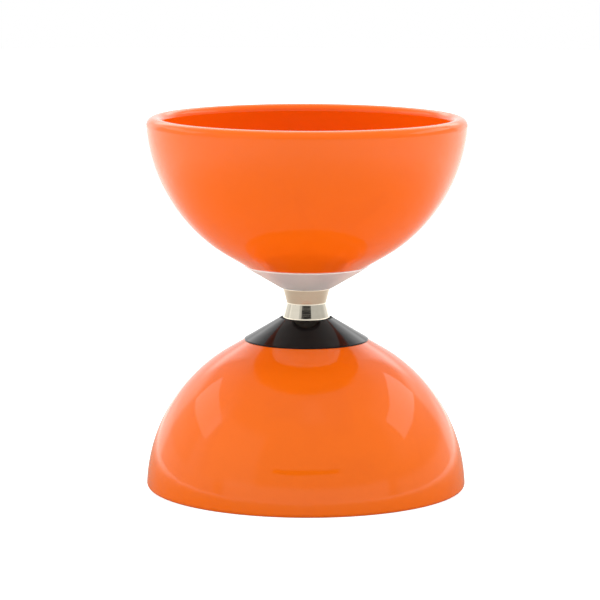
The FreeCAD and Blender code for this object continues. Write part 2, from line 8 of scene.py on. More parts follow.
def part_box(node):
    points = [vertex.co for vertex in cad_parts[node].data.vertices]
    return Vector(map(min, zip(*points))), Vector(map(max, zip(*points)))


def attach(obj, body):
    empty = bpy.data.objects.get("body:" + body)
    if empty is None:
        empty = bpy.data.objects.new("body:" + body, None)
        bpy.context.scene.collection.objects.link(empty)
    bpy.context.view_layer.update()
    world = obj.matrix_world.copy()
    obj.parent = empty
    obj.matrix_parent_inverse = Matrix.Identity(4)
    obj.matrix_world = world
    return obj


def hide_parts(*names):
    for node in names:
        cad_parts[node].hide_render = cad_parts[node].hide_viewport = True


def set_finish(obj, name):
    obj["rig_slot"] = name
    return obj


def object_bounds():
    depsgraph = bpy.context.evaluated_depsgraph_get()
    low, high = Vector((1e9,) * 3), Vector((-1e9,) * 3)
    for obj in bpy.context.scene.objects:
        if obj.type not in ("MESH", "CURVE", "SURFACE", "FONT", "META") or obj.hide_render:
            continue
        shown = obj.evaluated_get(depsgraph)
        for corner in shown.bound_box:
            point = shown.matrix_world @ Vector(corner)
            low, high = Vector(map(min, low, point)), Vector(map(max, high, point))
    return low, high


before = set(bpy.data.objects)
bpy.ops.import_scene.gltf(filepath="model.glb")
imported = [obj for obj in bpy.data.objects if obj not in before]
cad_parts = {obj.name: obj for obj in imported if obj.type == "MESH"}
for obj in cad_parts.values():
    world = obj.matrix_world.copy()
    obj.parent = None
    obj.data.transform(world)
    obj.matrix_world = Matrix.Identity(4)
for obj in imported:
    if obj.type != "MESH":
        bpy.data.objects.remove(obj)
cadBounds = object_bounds()
hubLow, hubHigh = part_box("hub_shell")
hubMiddle = (hubLow.z + hubHigh.z) / 2
mm = 0.001
scene = bpy.context.scene
print("frame loaded:", len(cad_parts), "nodes, hub middle at", round(hubMiddle / mm, 2), "mm")


# outlines: lists of (radius, height) in millimetres, heights from the middle of the hub

def arcRun(centre, radius, start, end, step=3.0):
    count = max(2, math.ceil(abs(end - start) / step))
    angles = [math.radians(start + (end - start) * i / count) for i in range(count + 1)]
    return [(centre[0] + radius * math.cos(a), centre[1] + radius * math.sin(a)) for a in angles]


def straightRun(start, end, guard=0.1, spacing=2.0):
    # points near both ends keep the shading of the flat part flat
    length = math.dist(start, end)
    if length < guard * 3:
        return [start, end]
    count = max(1, math.ceil((length - 2 * guard) / spacing))
    steps = [0] + [guard + (length - 2 * guard) * i / count for i in range(count + 1)] + [length]
    return [tuple(a + (b - a) * s / length for a, b in zip(start, end)) for s in steps]


def cornerRun(before, corner, after, radius):
    # the points of a small round on a corner
    if radius <= 0:
        return [corner]
    here = Vector(corner)
    back, ahead = (Vector(before) - here).normalized(), (Vector(after) - here).normalized()
    half = back.angle(ahead) / 2
    centre = here + (back + ahead).normalized() * (radius / math.sin(half))
    first, last = here + back * (radius / math.tan(half)), here + ahead * (radius / math.tan(half))
    turn = math.pi - 2 * half
    count = max(2, math.ceil(math.degrees(turn) / 12))
    points = []
    for i in range(count + 1):
        share = i / count
        a = (first - centre) * math.sin((1 - share) * turn) + (last - centre) * math.sin(share * turn)
        points.append(tuple(centre + a / math.sin(turn)))
    return points


def roundedOutline(corners, closed=True, spacing=2.0):
    # corners are (radius, height, round)
    rounds = []
    count = len(corners)
    for i, (r, h, size) in enumerate(corners):
        if not closed and i in (0, count - 1):
            rounds.append([(r, h)])
        else:
            rounds.append(cornerRun(corners[i - 1][:2], (r, h), corners[(i + 1) % count][:2], size))
    points = []
    for i, run in enumerate(rounds):
        points += run
        if closed or i < count - 1:
            points += straightRun(run[-1], rounds[(i + 1) % count][0], spacing=spacing)
    return points


def withoutRepeats(points, closed=True):
    kept = [p for i, p in enumerate(points) if i == 0 or math.dist(p, points[i - 1]) > 1e-5]
    if closed and math.dist(kept[0], kept[-1]) < 1e-5:
        kept.pop()
    return kept


def revolve(mesh, outline, segments, turnedOver=False, closed=True):
    side = -1 if turnedOver else 1
    rings = []
    for radius, height in withoutRepeats(outline, closed):
        z = hubMiddle + side * height * mm
        if radius < 1e-4:
            rings.append([mesh.verts.new((0, 0, z))])
            continue
        turns = [2 * math.pi * i / segments for i in range(segments)]
        rings.append([mesh.verts.new((radius * mm * math.cos(a), radius * mm * math.sin(a), z))
                      for a in turns])
    following = rings[1:] + rings[:1] if closed else rings[1:]
    for low, high in zip(rings, following):
        for i in range(segments):
            j = (i + 1) % segments
            corners = [low[i % len(low)], low[j % len(low)], high[j % len(high)], high[i % len(high)]]
            mesh.faces.new(list(dict.fromkeys(corners)))


def finishMesh(name, mesh, body, slotName, replaced, sharpAngle=26.0):
    bmesh.ops.remove_doubles(mesh, verts=mesh.verts, dist=1e-8)
    bmesh.ops.recalc_face_normals(mesh, faces=mesh.faces)
    for face in mesh.faces:
        face.smooth = True
    limit = math.radians(sharpAngle)
    for edge in mesh.edges:
        edge.smooth = len(edge.link_faces) == 2 and edge.calc_face_angle(0.0) < limit
    data = bpy.data.meshes.new(name)
    mesh.to_mesh(data)
    mesh.free()
    piece = bpy.data.objects.new(name, data)
    scene.collection.objects.link(piece)
    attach(piece, body)
    if replaced:
        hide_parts(*replaced)
    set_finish(piece, slotName)
    return piece


# cups

cupShape = {
    "seat": 14.7,  # the flat that sits on the cone
    "seatRadius": 24.2,
    "seatRound": 0.3,
    "flankLength": 8.0,
    "rimRadius": 62.5,
    "bowlRise": 1.1,  # the bowl's centre stands this far above the rim
    "wall": 4.0,
    "base": 5.0,
    "rimHeight": 57.8,  # from the seat
    "upperRound": 3.2,  # outside of each rim
    "lowerRound": 1.5,
    "land": 0.6,
    "innerRound": 2.7,
    "innerBlend": 25.0,
    "floorBlend": 6.0,
    "boreRadius": 7.15,
    "recessRadius": 15.3,
    "recessDepth": 0.8,
    "segments": 288,
}


def bowlArc(s):
    # one arc that touches the straight flank below and the upright at the rim
    low, high = 0.0, math.pi / 2
    centreHeight = s["rimHeight"] + s["bowlRise"]
    for _ in range(60):
        angle = (low + high) / 2
        across = s["rimRadius"] - s["seatRadius"] - s["flankLength"] * math.cos(angle)
        radiusUp = (centreHeight - s["flankLength"] * math.sin(angle)) / math.cos(angle)
        low, high = (angle, high) if across / (1 - math.sin(angle)) < radiusUp else (low, angle)
    return math.degrees(angle), radiusUp, (s["rimRadius"] - radiusUp, centreHeight)


def cupOutline(s, outerRound):
    angle, radius, centre = bowlArc(s)
    flankEnd = (s["seatRadius"] + s["flankLength"] * math.cos(math.radians(angle)),
                s["flankLength"] * math.sin(math.radians(angle)))
    lift = s["rimHeight"] - outerRound - centre[1]
    outward = radius - outerRound
    nearRim = math.degrees(math.asin(lift / outward))
    outerCentre = (centre[0] + outward * math.cos(math.radians(nearRim)), centre[1] + lift)
    innerCentre = (outerCentre[0] - s["land"], s["rimHeight"] - s["innerRound"])
    inside = innerCentre[0] - s["innerRound"]
    inner = radius - s["wall"]
    drop = math.degrees(math.acos((inside - s["innerBlend"] - centre[0])
                                  / (inner - s["innerBlend"])))
    reach = inner - s["innerBlend"]
    blendCentre = (inside - s["innerBlend"], centre[1] - reach * math.sin(math.radians(drop)))
    reach = inner - s["floorBlend"]
    floorAngle = math.degrees(math.asin((s["base"] + s["floorBlend"] - centre[1]) / reach))
    floorCentre = (centre[0] + reach * math.cos(math.radians(floorAngle)), s["base"] + s["floorBlend"])
    recessFloor = s["base"] - s["recessDepth"]
    points = roundedOutline([
        (s["recessRadius"], s["base"], 0),
        (s["recessRadius"], recessFloor, 0.1),
        (s["boreRadius"], recessFloor, 0.15),
        (s["boreRadius"], 0, 0.15),
        (s["seatRadius"], 0, s["seatRound"]),
        flankEnd + (0,),
    ], closed=False)
    points += arcRun(centre, radius, angle - 90, nearRim, 1.2)
    points += arcRun(outerCentre, outerRound, nearRim, 90, 5)
    points += arcRun(innerCentre, s["innerRound"], 90, 180, 6)
    points += straightRun((inside, innerCentre[1]), (inside, blendCentre[1]))
    points += arcRun(blendCentre, s["innerBlend"], 0, -drop, 3)
    points += arcRun(centre, inner, -drop, floorAngle, 1.5)
    points += arcRun(floorCentre, s["floorBlend"], floorAngle, -90, 5)
    edge = s["recessRadius"]
    points += straightRun((floorCentre[0], s["base"]), (edge + 0.2, s["base"]))
    points += arcRun((edge + 0.2, s["base"] - 0.2), 0.2, 90, 180, 15)
    points = points[1:]  # the sharp starting corner gives way to its round
    return [(r, h + s["seat"]) for r, h in points]


cups = []
for side, turnedOver in (("upper", False), ("lower", True)):
    mesh = bmesh.new()
    revolve(mesh, cupOutline(cupShape, cupShape[f"{side}Round"]), cupShape["segments"], turnedOver)
    cups.append(finishMesh(f"{side}CupShell", mesh, "cups_and_axle", "orange_plastic", [f"{side}_cup"]))
print("cups made")


# cones

coneShape = {
    "face": 5.9,
    "height": 8.8,
    "baseRadius": 24.2,
    "edge": 0.5,
    "topRadius": 10.25,
    "recessRadius": 9.75,
    "recessDepth": 0.6,
    "edgeRound": 0.2,
    "boreRadius": 3.0,
    "spigotRadius": 7.0,
    "spigotHeight": 4.0,
    "bossRadius": 9.0,
    "skin": 2.3,
    "metalHollow": 3.0,
    "mouldedHollow": 5.9,
    "ribs": 6,
    "ribThickness": 1.6,
    "ribShort": 0.02,  # how far the ribs stop short of the cone's back
    "segments": 256,
}


def hollowRadius(s, height):
    slope = (s["height"] - s["edge"]) / (s["baseRadius"] - s["topRadius"])
    return s["topRadius"] + (height - s["skin"]) / slope


def coneOutline(s, depth):
    floor = s["height"] - depth
    corners = [
        (s["boreRadius"], s["recessDepth"], 0.1),
        (s["recessRadius"], s["recessDepth"], 0.1),
        (s["recessRadius"], 0, 0.15),
        (s["topRadius"], 0, s["edgeRound"]),
        (s["baseRadius"], s["height"] - s["edge"], s["edgeRound"]),
        (s["baseRadius"], s["height"], s["edgeRound"]),
        (hollowRadius(s, s["height"]), s["height"], 0.1),
        (hollowRadius(s, floor), floor, 0.2),
        (s["bossRadius"], floor, 0.2),
        (s["bossRadius"], s["height"], 0.1),
        (s["spigotRadius"], s["height"], 0.1),
        (s["spigotRadius"], s["height"] + s["spigotHeight"], 0.2),
        (s["boreRadius"], s["height"] + s["spigotHeight"], 0.1),
    ]
    return [(r, h + s["face"]) for r, h in roundedOutline(corners, spacing=1.0)]


def addRibs(mesh, s, depth):
    # ribs under the moulded cone, on its turned-over side
    floor, back, sunk = s["height"] - depth, s["height"], s["skin"] / 2
    inside = s["bossRadius"] - 1.0
    section = [(inside, floor - sunk), (hollowRadius(s, floor), floor - sunk),
               (hollowRadius(s, back), back - sunk), (hollowRadius(s, back), back - s["ribShort"]),
               (inside, back - s["ribShort"])]
    for count in range(s["ribs"]):
        turn = Matrix.Rotation(2 * math.pi * count / s["ribs"], 3, "Z")
        sides = []
        for half in (-s["ribThickness"] / 2, s["ribThickness"] / 2):
            sides.append([mesh.verts.new(turn @ Vector((r * mm, half * mm, hubMiddle - (h + s["face"]) * mm)))
                          for r, h in section])
        mesh.faces.new(sides[0])
        mesh.faces.new(list(reversed(sides[1])))
        for i in range(len(section)):
            j = (i + 1) % len(section)
            mesh.faces.new([sides[0][j], sides[0][i], sides[1][i], sides[1][j]])


mesh = bmesh.new()
revolve(mesh, coneOutline(coneShape, coneShape["metalHollow"]), coneShape["segments"])
metalCone = finishMesh("metalCone", mesh, "cups_and_axle", "turned_aluminium", ["upper_cone"])
mesh = bmesh.new()
revolve(mesh, coneOutline(coneShape, coneShape["mouldedHollow"]), coneShape["segments"], turnedOver=True)
addRibs(mesh, coneShape, coneShape["mouldedHollow"])
mouldedCone = finishMesh("mouldedCone", mesh, "cups_and_axle", "black_plastic", ["lower_cone"])
print("cones made")


# hub

hubShape = {
    "half": 6.0,
    "waistRadius": 7.75,
    "endRadius": 9.35,
    "waistRound": 1.0,
    "land": 0.55,  # narrow upright band at each end
    "landTilt": 4.0,
    "endRound": 0.12,
    "boreRadius": 6.0,
    "segments": 256,
}


def hubOutline(s):
    top = s["endRadius"] + (s["waistRadius"] - s["endRadius"]) * s["land"] / s["half"]
    lean = s["land"] * math.tan(math.radians(s["landTilt"]))
    below = [
        (s["boreRadius"], -s["half"], 0.1),
        (top + lean, -s["half"], s["endRound"]),
        (top, s["land"] - s["half"], 0.08),
    ]
    above = [(r, -h, size) for r, h, size in reversed(below)]
    return roundedOutline(below + [(s["waistRadius"], 0, s["waistRound"])] + above, spacing=0.5)


mesh = bmesh.new()
revolve(mesh, hubOutline(hubShape), hubShape["segments"])
hubSpool = finishMesh("hubSpool", mesh, "hub", "plated_steel", ["hub_shell"])
print("hub made")


# axle with rolled threads at its ends

axleShape = {
    "half": 32.4,
    "radius": 2.99,
    "rootRadius": 2.4,
    "pitch": 1.0,
    "crest": 0.12,  # share of the pitch that is flat at the crest, and at the root
    "threadLength": 15.0,
    "chamfer": 0.6,
    "turnSteps": 64,
    "pitchSteps": 12,
}


def threadRadius(s, phase):
    flank = 0.5 - s["crest"]
    distance = abs(phase - 0.5)  # 0 at the crest, 0.5 at the root
    share = min(1.0, max(0.0, (distance - s["crest"] / 2) / flank))
    return s["radius"] + (s["rootRadius"] - s["radius"]) * share


def addThread(mesh, s, side):
    start, end = s["half"] - s["threadLength"], s["half"]
    tip = s["radius"] - s["chamfer"]
    rise = s["pitch"] / s["pitchSteps"]
    rows = math.ceil((end - start) / rise) + s["pitchSteps"] + 1
    columns = []
    for c in range(s["turnSteps"]):
        angle = 2 * math.pi * c / s["turnSteps"]
        column = []
        for row in range(rows + s["pitchSteps"]):
            height = start + (row - s["pitchSteps"]) * rise + s["pitch"] * c / s["turnSteps"]
            inside = min(max(height, start), end)
            room = tip + min(end - inside, inside - start)
            radius = min(threadRadius(s, (row % s["pitchSteps"]) / s["pitchSteps"]), room)
            column.append(mesh.verts.new((radius * mm * math.cos(angle), radius * mm * math.sin(angle) * side,
                                          hubMiddle + side * inside * mm)))
        columns.append(column)
    for c in range(s["turnSteps"]):
        here, there = columns[c], columns[(c + 1) % s["turnSteps"]]
        shift = s["pitchSteps"] if c == s["turnSteps"] - 1 else 0
        for row in range(len(here) - 1 - shift):
            a, b = here[row], here[row + 1]
            d, e = there[row + shift], there[row + 1 + shift]
            if (a.co - b.co).length < 1e-9 and (d.co - e.co).length < 1e-9:
                continue
            mesh.faces.new([a, d, e, b])
    for height in (start, end):
        z = hubMiddle + side * height * mm
        ring = [mesh.verts.new((tip * mm * math.cos(2 * math.pi * c / s["turnSteps"]),
                                tip * mm * math.sin(2 * math.pi * c / s["turnSteps"]) * side, z))
                for c in range(s["turnSteps"])]
        hollow = mesh.verts.new((0, 0, z - (0.12 * mm * side if height == end else 0)))
        for c in range(s["turnSteps"]):
            mesh.faces.new([ring[c], ring[(c + 1) % s["turnSteps"]], hollow])


mesh = bmesh.new()
shankEnd = axleShape["half"] - axleShape["threadLength"] + 0.7
revolve(mesh, roundedOutline([(0, -shankEnd, 0), (axleShape["radius"], -shankEnd, 0.1),
                              (axleShape["radius"], shankEnd, 0.1), (0, shankEnd, 0)], closed=False),
        96, closed=False)
for side in (1, -1):
    addThread(mesh, axleShape, side)
threadedAxle = finishMesh("threadedAxle", mesh, "cups_and_axle", "zinc_steel", ["axle"], sharpAngle=40)
print("axle made")


# shader building

def add(tree, kind, inputs=None, **settings):
    made = tree.nodes.new(kind)
    for key, value in settings.items():
        setattr(made, key, value)
    for key, value in (inputs or {}).items():
        if isinstance(value, bpy.types.NodeSocket):
            tree.links.new(value, made.inputs[key])
        else:
            made.inputs[key].default_value = value
    return made


def calc(tree, operation, first, second=0.0):
    return add(tree, "ShaderNodeMath", {0: first, 1: second}, operation=operation).outputs[0]


def remap(tree, value, fromLow, fromHigh, toLow=0.0, toHigh=1.0, smooth=False):
    kind = "SMOOTHSTEP" if smooth else "LINEAR"
    inputs = {"Value": value, "From Min": fromLow, "From Max": fromHigh, "To Min": toLow, "To Max": toHigh}
    return add(tree, "ShaderNodeMapRange", inputs, interpolation_type=kind).outputs[0]


def blendColour(tree, share, first, second):
    return add(tree, "ShaderNodeMix", {0: share, 6: first, 7: second}, data_type="RGBA").outputs[2]


def newGroup(name, inputs, outputs):
    group = bpy.data.node_groups.new(name, "ShaderNodeTree")
    for label, value in inputs.items():
        socket = group.interface.new_socket(name=label, in_out="INPUT", socket_type="NodeSocketFloat")
        socket.default_value = value
    for label in outputs:
        group.interface.new_socket(name=label, in_out="OUTPUT", socket_type="NodeSocketFloat")
    return group, group.nodes.new("NodeGroupInput").outputs, group.nodes.new("NodeGroupOutput")


def place(tree, group, **values):
    made = add(tree, "ShaderNodeGroup", node_tree=group)
    for label, value in values.items():
        made.inputs[label].default_value = value
    return made.outputs


def objectPoint(tree):
    return tree.nodes.new("ShaderNodeTexCoord").outputs["Object"]


def makeSmudges():
    # broad soft patches, as handling leaves on gloss
    group, given, out = newGroup("smudges", {"Scale": 60.0, "Threshold": 0.5, "Softness": 0.2,
                                             "Stretch": 1.0}, ["Mask"])
    noise = add(group, "ShaderNodeTexNoise", {"Vector": objectPoint(group), "Scale": given["Scale"],
                                             "Detail": 4.0, "Roughness": 0.6, "Distortion": given["Stretch"]})
    top = calc(group, "ADD", given["Threshold"], given["Softness"])
    mask = remap(group, noise.outputs["Fac"], given["Threshold"], top, smooth=True)
    group.links.new(mask, out.inputs["Mask"])
    return group


def makeHairlines():
    # thin broken scratches that wander over the surface
    group, given, out = newGroup("hairlines", {"Scale": 60.0, "Width": 0.01, "Amount": 0.5}, ["Mask"])
    point = objectPoint(group)
    sway = add(group, "ShaderNodeTexNoise", {"Vector": point, "Scale": 35.0, "Detail": 2.0})
    bent = add(group, "ShaderNodeVectorMath", {0: sway.outputs["Color"], 1: (0.03, 0.03, 0.03)},
               operation="MULTIPLY")
    moved = add(group, "ShaderNodeVectorMath", {0: point, 1: bent.outputs[0]}, operation="ADD")
    cells = add(group, "ShaderNodeTexVoronoi", {"Vector": moved.outputs[0], "Scale": given["Scale"]},
                feature="DISTANCE_TO_EDGE")
    line = remap(group, cells.outputs["Distance"], 0.0, given["Width"], 1.0, 0.0)
    broken = add(group, "ShaderNodeTexNoise", {"Vector": point, "Scale": 160.0, "Detail": 2.0})
    limit = calc(group, "SUBTRACT", 1.0, given["Amount"])
    top = calc(group, "ADD", limit, 0.12)
    kept = remap(group, broken.outputs["Fac"], limit, top)
    group.links.new(calc(group, "MULTIPLY", line, kept), out.inputs["Mask"])
    return group


def makeSpecks():
    # dust or pits: small round dots in some of the cells
    group, given, out = newGroup("specks", {"Scale": 400.0, "Size": 0.12, "Amount": 0.15}, ["Mask"])
    cells = add(group, "ShaderNodeTexVoronoi", {"Vector": objectPoint(group), "Scale": given["Scale"]})
    chance = add(group, "ShaderNodeSeparateColor", {"Color": cells.outputs["Color"]})
    chosen = calc(group, "LESS_THAN", chance.outputs[0], given["Amount"])
    size = calc(group, "MULTIPLY", given["Size"], calc(group, "ADD", chance.outputs[1], 0.35))
    dot = remap(group, cells.outputs["Distance"], 0.0, size, 1.0, 0.0, smooth=True)
    group.links.new(calc(group, "MULTIPLY", dot, chosen), out.inputs["Mask"])
    return group


def makeTurning():
    # rings left by a lathe tool, round the part's own axis
    group, given, out = newGroup("turning", {"Lines": 5000.0, "Wander": 0.3}, ["Lines", "Bands"])
    parts = add(group, "ShaderNodeSeparateXYZ", {"Vector": objectPoint(group)})
    square = calc(group, "ADD", calc(group, "MULTIPLY", parts.outputs[0], parts.outputs[0]),
                  calc(group, "MULTIPLY", parts.outputs[1], parts.outputs[1]))
    along = calc(group, "ADD", calc(group, "SQRT", square), calc(group, "MULTIPLY", parts.outputs[2], 0.83))
    drift = add(group, "ShaderNodeTexNoise", {"Vector": objectPoint(group), "Scale": 40.0, "Detail": 1.0})
    sway = calc(group, "MULTIPLY", calc(group, "MULTIPLY", drift.outputs["Fac"], 0.0002), given["Wander"])
    wandering = calc(group, "ADD", along, sway)
    fineAlong = calc(group, "MULTIPLY", wandering, given["Lines"])
    fine = add(group, "ShaderNodeTexNoise", {"W": fineAlong, "Scale": 1.0, "Detail": 3.0, "Roughness": 0.7},
               noise_dimensions="1D")
    broadAlong = calc(group, "MULTIPLY", along, given["Lines"])
    broad = add(group, "ShaderNodeTexNoise", {"W": broadAlong, "Scale": 0.12, "Detail": 2.0},
                noise_dimensions="1D")
    group.links.new(fine.outputs["Fac"], out.inputs["Lines"])
    group.links.new(broad.outputs["Fac"], out.inputs["Bands"])
    return group


def makeMouldSkin():
    # the slight unevenness of a moulded or plated face
    group, given, out = newGroup("mouldSkin", {"Ripple": 120.0, "Grain": 3000.0, "Grain Share": 0.1},
                                 ["Height"])
    point = objectPoint(group)
    broad = add(group, "ShaderNodeTexNoise", {"Vector": point, "Scale": given["Ripple"], "Detail": 1.0})
    grain = add(group, "ShaderNodeTexNoise", {"Vector": point, "Scale": given["Grain"], "Detail": 2.0})
    fine = calc(group, "MULTIPLY", grain.outputs["Fac"], given["Grain Share"])
    total = calc(group, "ADD", broad.outputs["Fac"], fine)
    group.links.new(total, out.inputs["Height"])
    return group


def makeEdgeRub():
    # rubbed outer edges
    group, given, out = newGroup("edgeRub", {"Start": 0.52, "End": 0.58}, ["Mask"])
    bend = group.nodes.new("ShaderNodeNewGeometry").outputs["Pointiness"]
    patchy = add(group, "ShaderNodeTexNoise", {"Vector": objectPoint(group), "Scale": 700.0, "Detail": 3.0})
    rubbed = calc(group, "MULTIPLY", remap(group, bend, given["Start"], given["End"]),
                  remap(group, patchy.outputs["Fac"], 0.35, 0.6))
    group.links.new(rubbed, out.inputs["Mask"])
    return group


smudges, hairlines, specks = makeSmudges(), makeHairlines(), makeSpecks()
turning, mouldSkin, edgeRub = makeTurning(), makeMouldSkin(), makeEdgeRub()


def newMaterial(name, fixed):
    # fixed holds the plain numbers that stay on the shader itself
    material = bpy.data.materials.new(name)
    material.use_nodes = True
    tree = material.node_tree
    shader = next(n for n in tree.nodes if n.type == "BSDF_PRINCIPLED")
    for label, value in fixed.items():
        shader.inputs[label].default_value = value
    return material, tree, shader


def finishLook(tree, shader, colour, roughness, height, distance):
    tree.links.new(colour, shader.inputs["Base Color"])
    tree.links.new(roughness, shader.inputs["Roughness"])
    bump = add(tree, "ShaderNodeBump", {"Height": height, "Distance": distance, "Strength": 1.0})
    tree.links.new(bump.outputs["Normal"], shader.inputs["Normal"])


orangeLook = {
    "upperPaintedLightColour": (0.925, 0.139, 0.0036, 1),  # one plastic in two colours: the upper cup painted lighter and redder as painted light, the lower cup painted darker as painted shade, for how differently the two cups are lit
    "lowerPaintedShadeColour": (0.860, 0.147, 0.0036, 1),
    "deeper": (0.96, 0.93, 0.80, 1),  # multiplies the colour in patches
    "dust": (0.86, 0.42, 0.22, 1),
    "smoothest": 0.045,
    "roughest": 0.085,
    "patchShare": 0.6,
    "dustShare": 0.35,
    "scuff": 0.14,  # added roughness on scratches and dust
    "scratchDepth": 0.02,
    "relief": 0.00008,
}


def makeOrange(s):
    material, tree, shader = newMaterial("orangePlastic", {"IOR": 1.41})
    patches = place(tree, smudges, Scale=38.0, Threshold=0.45, Softness=0.25, Stretch=0.6)["Mask"]
    lines = place(tree, hairlines, Scale=45.0, Width=0.006, Amount=0.42)["Mask"]
    dots = place(tree, specks, Scale=520.0, Size=0.1, Amount=0.02)["Mask"]
    ripple = place(tree, mouldSkin, **{"Ripple": 90.0, "Grain": 2600.0, "Grain Share": 0.012})["Height"]
    # painted light and shade: the cup above the hub's middle takes a lighter colour and the cup below a darker
    # one, standing in for how each cup is lit
    level = add(tree, "ShaderNodeSeparateXYZ", {0: objectPoint(tree)}).outputs[2]
    isUpper = calc(tree, "GREATER_THAN", level, hubMiddle)
    colour = blendColour(tree, isUpper, s["lowerPaintedShadeColour"], s["upperPaintedLightColour"])
    patched = add(tree, "ShaderNodeMix", {0: 1.0, 6: colour, 7: s["deeper"]}, data_type="RGBA",
                  blend_type="MULTIPLY").outputs[2]
    colour = blendColour(tree, calc(tree, "MULTIPLY", patches, s["patchShare"]), colour, patched)
    colour = blendColour(tree, calc(tree, "MULTIPLY", dots, s["dustShare"]), colour, s["dust"])
    rough = calc(tree, "ADD", remap(tree, patches, 0.0, 1.0, s["smoothest"], s["roughest"]),
                 calc(tree, "MULTIPLY", calc(tree, "MAXIMUM", lines, dots), s["scuff"]))
    height = calc(tree, "SUBTRACT", ripple, calc(tree, "MULTIPLY", lines, s["scratchDepth"]))
    finishLook(tree, shader, colour, rough, height, s["relief"])
    return material


blackLook = {
    "colour": (0.0024, 0.0016, 0.0018, 1),
    "greyer": (0.0038, 0.0030, 0.0032, 1),
    "dust": (0.2, 0.19, 0.18, 1),
    "smoothest": 0.07,
    "roughest": 0.12,
    "flatFaces": 0.6,  # added roughness on faces that look straight up
    "dustShare": 0.4,
    "scuff": 0.15,
    "scratchDepth": 0.06,
    "relief": 0.00004,
}


def makeBlack(s):
    material, tree, shader = newMaterial("blackPlastic", {"IOR": 1.27})
    patches = place(tree, smudges, Scale=90.0, Threshold=0.42, Softness=0.3, Stretch=0.5)["Mask"]
    lines = place(tree, hairlines, Scale=140.0, Width=0.01, Amount=0.5)["Mask"]
    dots = place(tree, specks, Scale=900.0, Size=0.12, Amount=0.05)["Mask"]
    rub = place(tree, edgeRub, Start=0.53, End=0.6)["Mask"]
    ripple = place(tree, mouldSkin, **{"Ripple": 200.0, "Grain": 4000.0, "Grain Share": 0.05})["Height"]
    colour = blendColour(tree, patches, s["colour"], s["greyer"])
    dusty = calc(tree, "MULTIPLY", calc(tree, "MAXIMUM", dots, rub), s["dustShare"])
    colour = blendColour(tree, dusty, colour, s["dust"])
    rough = calc(tree, "ADD", remap(tree, patches, 0.0, 1.0, s["smoothest"], s["roughest"]),
                 calc(tree, "MULTIPLY", calc(tree, "MAXIMUM", lines, dots), s["scuff"]))
    normal = tree.nodes.new("ShaderNodeTexCoord").outputs["Normal"]
    upright = add(tree, "ShaderNodeSeparateXYZ", {0: normal}).outputs[2]
    rough = calc(tree, "ADD", rough, remap(tree, upright, 0.92, 0.97, 0.0, s["flatFaces"]))
    height = calc(tree, "SUBTRACT", ripple, calc(tree, "MULTIPLY", lines, s["scratchDepth"]))
    finishLook(tree, shader, colour, rough, height, s["relief"])
    return material


metalLooks = {
    "turnedAluminium": {"colour": (0.97, 0.955, 0.935, 1), "shade": (0.92, 0.90, 0.88, 1),
                        "rough": (0.42, 0.54), "metallic": 0.5, "lines": 9000.0, "wander": 0.2,
                        "linesDepth": 0.8, "distance": 0.000010, "marks": 0.35},
    "nickelPlate": {"colour": (0.86, 0.80, 0.67, 1), "shade": (0.76, 0.70, 0.57, 1),
                    "rough": (0.03, 0.07), "metallic": 1.0, "lines": 7000.0, "wander": 0.5,
                    "linesDepth": 0.35, "distance": 0.000010, "marks": 0.8},
    "zincSteel": {"colour": (0.70, 0.71, 0.72, 1), "shade": (0.56, 0.57, 0.59, 1),
                  "rough": (0.24, 0.42), "metallic": 1.0, "lines": 4000.0, "wander": 1.0,
                  "linesDepth": 0.35, "distance": 0.000015, "marks": 0.6},
    "groundSteel": {"colour": (0.74, 0.74, 0.75, 1), "shade": (0.64, 0.64, 0.66, 1),
                    "rough": (0.12, 0.22), "metallic": 1.0, "lines": 12000.0, "wander": 0.1,
                    "linesDepth": 0.6, "distance": 0.000006, "marks": 0.25},
}
metalMarks = {"pit": (0.16, 0.14, 0.12, 1), "rubbed": (0.88, 0.87, 0.86, 1), "rubbedShare": 0.4,
              "scratchRoughness": 0.12}


def makeMetal(name, s):
    material, tree, shader = newMaterial(name, {"Metallic": s["metallic"]})
    rings = place(tree, turning, Lines=s["lines"], Wander=s["wander"])
    patches = place(tree, smudges, Scale=130.0, Threshold=0.4, Softness=0.3, Stretch=0.8)["Mask"]
    lines = place(tree, hairlines, Scale=220.0, Width=0.02, Amount=0.45)["Mask"]
    pits = place(tree, specks, Scale=1400.0, Size=0.16, Amount=0.05)["Mask"]
    rub = place(tree, edgeRub, Start=0.53, End=0.62)["Mask"]
    ripple = place(tree, mouldSkin, **{"Ripple": 500.0, "Grain": 6000.0, "Grain Share": 0.2})["Height"]
    shade = calc(tree, "ADD", calc(tree, "MULTIPLY", rings["Bands"], 0.45),
                 calc(tree, "MULTIPLY", patches, 0.35))
    colour = blendColour(tree, shade, s["colour"], s["shade"])
    colour = blendColour(tree, calc(tree, "MULTIPLY", pits, s["marks"]), colour, metalMarks["pit"])
    worn = calc(tree, "MULTIPLY", rub, metalMarks["rubbedShare"])
    colour = blendColour(tree, worn, colour, metalMarks["rubbed"])
    rough = remap(tree, calc(tree, "ADD", calc(tree, "MULTIPLY", rings["Lines"], 0.7),
                             calc(tree, "MULTIPLY", patches, 0.4)), 0.2, 0.9, s["rough"][0], s["rough"][1])
    rough = calc(tree, "ADD", rough, calc(tree, "MULTIPLY", lines, metalMarks["scratchRoughness"]))
    height = calc(tree, "ADD", calc(tree, "MULTIPLY", rings["Lines"], s["linesDepth"]),
                  calc(tree, "MULTIPLY", ripple, 0.5))
    dents = calc(tree, "MULTIPLY", calc(tree, "MAXIMUM", lines, pits), s["marks"])
    height = calc(tree, "SUBTRACT", height, dents)
    finishLook(tree, shader, colour, rough, height, s["distance"])
    return material


nylonLook = {"colour": (0.80, 0.78, 0.70, 1), "darker": (0.70, 0.67, 0.57, 1), "smoothest": 0.32,
             "roughest": 0.48, "relief": 0.00003}


